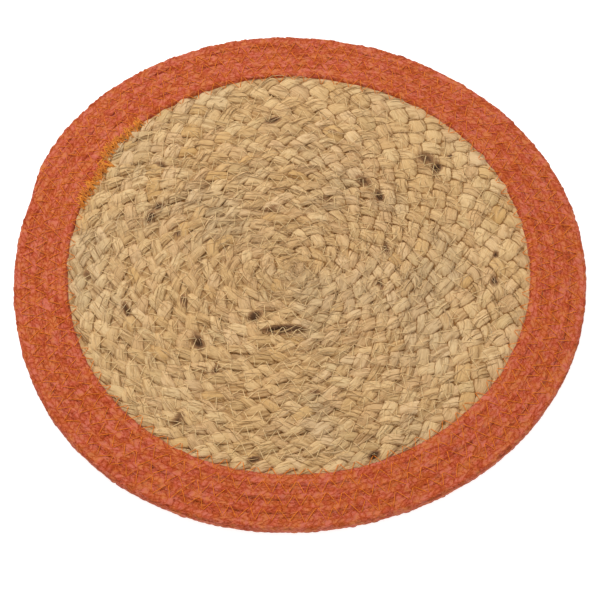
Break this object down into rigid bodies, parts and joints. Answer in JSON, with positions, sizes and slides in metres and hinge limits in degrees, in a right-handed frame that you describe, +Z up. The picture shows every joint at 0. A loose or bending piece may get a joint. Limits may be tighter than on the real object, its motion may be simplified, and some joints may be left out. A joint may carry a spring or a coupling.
{
  "type": "round placemat",
  "caption": "Round fabric placemat: a flat jute braid coiled into a disc, with a wide border of cotton cord coiled and sewn round it.",
  "frame": {"origin": "middle of the mat's outline, on the table under it", "axes": "+Z up through the mat's thickness; +X and +Y in the table plane, with the cord's outer end towards -X and a little +Y"},
  "size_m": [0.3788, 0.3788, 0.0075],
  "materials": {
    "jute": "matt natural jute, undyed straw colour",
    "cotton": "matt braided cotton cord, terracotta orange"
  },
  "bodies": {
    "root": {"jute_coil": "jute", "cotton_border": "cotton"}
  },
  "joints": []
}
